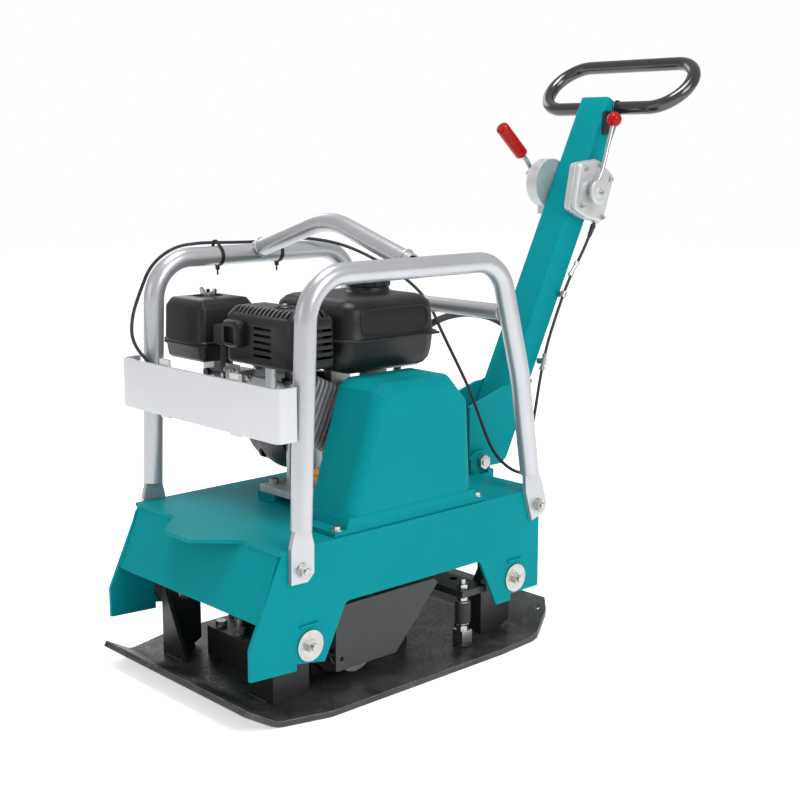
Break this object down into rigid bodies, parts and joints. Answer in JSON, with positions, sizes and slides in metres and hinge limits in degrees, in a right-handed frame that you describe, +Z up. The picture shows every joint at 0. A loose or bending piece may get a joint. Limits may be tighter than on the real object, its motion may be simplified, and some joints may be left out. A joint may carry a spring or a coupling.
{
  "type": "plate compactor",
  "caption": "Reversible plate compactor: petrol engine on a rubber-mounted deck, tube guards, twin-shaft exciter on a dished sole plate, hinged drawbar with loop grip.",
  "frame": {"origin": "centre of the sole plate's flat underside, midway along the side plates", "axes": "+Z up, -Y towards the bumper, +Y towards the operator, +X towards the belt cover"},
  "size_m": [0.483, 1.1627, 1.0436],
  "materials": {
    "teal_paint": "semi-gloss teal powder coat",
    "sole_steel": "dark worn sole plate",
    "dark_paint": "satin near-black paint",
    "silver_paint": "satin silver powder coat",
    "bumper_paint": "satin light silver paint",
    "machined_steel": "machined steel",
    "zinc_steel": "bright zinc plating",
    "rubber_black": "matt black rubber",
    "cast_alloy": "as-cast grey aluminium",
    "engine_black": "satin black paint",
    "muffler_steel": "heat-darkened steel",
    "black_plastic": "satin black moulding",
    "orange_plastic": "orange moulding",
    "red_plastic": "glossy red moulding",
    "cast_white": "light cast alloy",
    "black_tube": "glossy black coating"
  },
  "bodies": {
    "base": {"base_plate": "sole_steel", "mount_brackets": "dark_paint", "exciter_housing": "dark_paint", "exciter_covers": "dark_paint", "exciter_bearings": "machined_steel", "lower_belt_guard": "dark_paint", "limiter_bar": "dark_paint", "base_fasteners": "zinc_steel"},
    "exciter_drive": {"drive_eccentric_shaft": "machined_steel", "drive_gear": "machined_steel", "exciter_pulley": "machined_steel"},
    "exciter_driven": {"driven_eccentric_shaft": "machined_steel", "driven_gear": "machined_steel"},
    "deck": {"deck_plate": "teal_paint", "side_plate_left": "teal_paint", "side_plate_right": "teal_paint", "rubber_buffers": "rubber_black", "deck_fasteners": "zinc_steel", "hoop_left": "silver_paint", "hoop_right": "silver_paint", "lifting_bail": "silver_paint", "rear_cross_tube": "silver_paint", "bumper": "bumper_paint", "belt_cover": "teal_paint", "drive_belt": "rubber_black", "crankcase": "cast_alloy", "cylinder_head": "cast_alloy", "fan_housing": "engine_black", "recoil_cover": "engine_black", "fuel_tank": "black_plastic", "muffler": "muffler_steel", "muffler_guard": "engine_black", "plug_cap": "rubber_black", "carburettor": "cast_alloy", "air_cleaner_base": "black_plastic", "air_cleaner_cover": "black_plastic", "throttle_cable_deck": "rubber_black", "shift_hose": "rubber_black", "cable_ties": "black_plastic"},
    "crank": {"crankshaft": "machined_steel", "flywheel": "machined_steel", "clutch_pulley": "machined_steel"},
    "drawbar": {"drawbar": "teal_paint", "grip_loop": "black_tube", "throttle_box": "cast_white", "shift_box": "cast_white", "throttle_cable_drawbar": "rubber_black", "cable_clips": "zinc_steel"},
    "throttle_lever": {"throttle_lever": "machined_steel", "throttle_knob": "red_plastic"},
    "shift_lever": {"shift_lever": "machined_steel", "shift_grip": "red_plastic"},
    "air_cleaner_nut": {"air_cleaner_nut": "zinc_steel"},
    "fuel_cap": {"fuel_cap": "black_plastic"},
    "oil_cap": {"oil_cap": "orange_plastic"},
    "starter_grip": {"starter_grip": "black_plastic"},
    "engine_switch": {"engine_switch": "black_plastic"},
    "choke_lever": {"choke_lever": "black_plastic"},
    "fuel_valve_lever": {"fuel_valve_lever": "black_plastic"}
  },
  "joints": [
    {"name": "deck_bounce", "type": "slide", "parent": "base", "child": "deck", "axis": [0, 0, 1], "range_m": [-0.005, 0.005], "stiffness_N_per_m": 240000, "springref_m": 0.00316, "deforming": ["rubber_buffers", "drive_belt", "shift_hose"]},
    {"name": "drawbar_lift", "type": "hinge", "parent": "deck", "child": "drawbar", "pos_m": [0, 0.33, 0.292], "axis": [1, 0, 0], "range_deg": [0, 27], "deforming": ["throttle_cable_deck", "shift_hose"]},
    {"name": "throttle_pull", "type": "hinge", "parent": "drawbar", "child": "throttle_lever", "pos_m": [0.075, 0.612, 0.783], "axis": [1, 0, 0], "range_deg": [-50, 10]},
    {"name": "shift_pull", "type": "hinge", "parent": "drawbar", "child": "shift_lever", "pos_m": [-0.078, 0.612, 0.798], "axis": [1, 0, 0], "range_deg": [-60, 8]},
    {"name": "crank_spin", "type": "hinge", "parent": "deck", "child": "crank", "pos_m": [0, 0.037, 0.389], "axis": [1, 0, 0], "continuous": true},
    {"name": "exciter_drive_spin", "type": "hinge", "parent": "base", "child": "exciter_drive", "pos_m": [0, -0.08, 0.064], "axis": [1, 0, 0], "continuous": true},
    {"name": "exciter_driven_spin", "type": "hinge", "parent": "base", "child": "exciter_driven", "pos_m": [0, 0, 0.064], "axis": [1, 0, 0], "continuous": true},
    {"name": "fuel_cap_turn", "type": "hinge", "parent": "deck", "child": "fuel_cap", "pos_m": [0.008, 0.088, 0.64], "axis": [0, 0, 1], "range_deg": [0, 90]},
    {"name": "wing_nut_turn", "type": "hinge", "parent": "deck", "child": "air_cleaner_nut", "pos_m": [-0.191, -0.108, 0.618], "axis": [0, 0, 1], "continuous": true},
    {"name": "oil_cap_turn", "type": "hinge", "parent": "deck", "child": "oil_cap", "pos_m": [0.06, -0.07, 0.331], "axis": [0, -1, 0], "continuous": true},
    {"name": "starter_pull", "type": "slide", "parent": "deck", "child": "starter_grip", "axis": [0, 1, 0], "range_m": [0, 0.09], "stiffness_N_per_m": 200, "springref_m": -0.03},
    {"name": "switch_turn", "type": "hinge", "parent": "deck", "child": "engine_switch", "pos_m": [-0.106, 0.12373, 0.42057], "axis": [0, 0.9397, 0.342], "range_deg": [0, 50]},
    {"name": "choke_turn", "type": "hinge", "parent": "deck", "child": "choke_lever", "pos_m": [-0.116, -0.1325, 0.488], "axis": [0, -1, 0], "range_deg": [0, 25]},
    {"name": "fuel_valve_turn", "type": "hinge", "parent": "deck", "child": "fuel_valve_lever", "pos_m": [-0.1, -0.1325, 0.46], "axis": [0, -1, 0], "range_deg": [0, 60]}
  ],
  "couplings": [
    {"joint": "exciter_drive_spin", "follows": "crank_spin", "ratio": 1.25},
    {"joint": "exciter_driven_spin", "follows": "crank_spin", "ratio": -1.25}
  ]
}
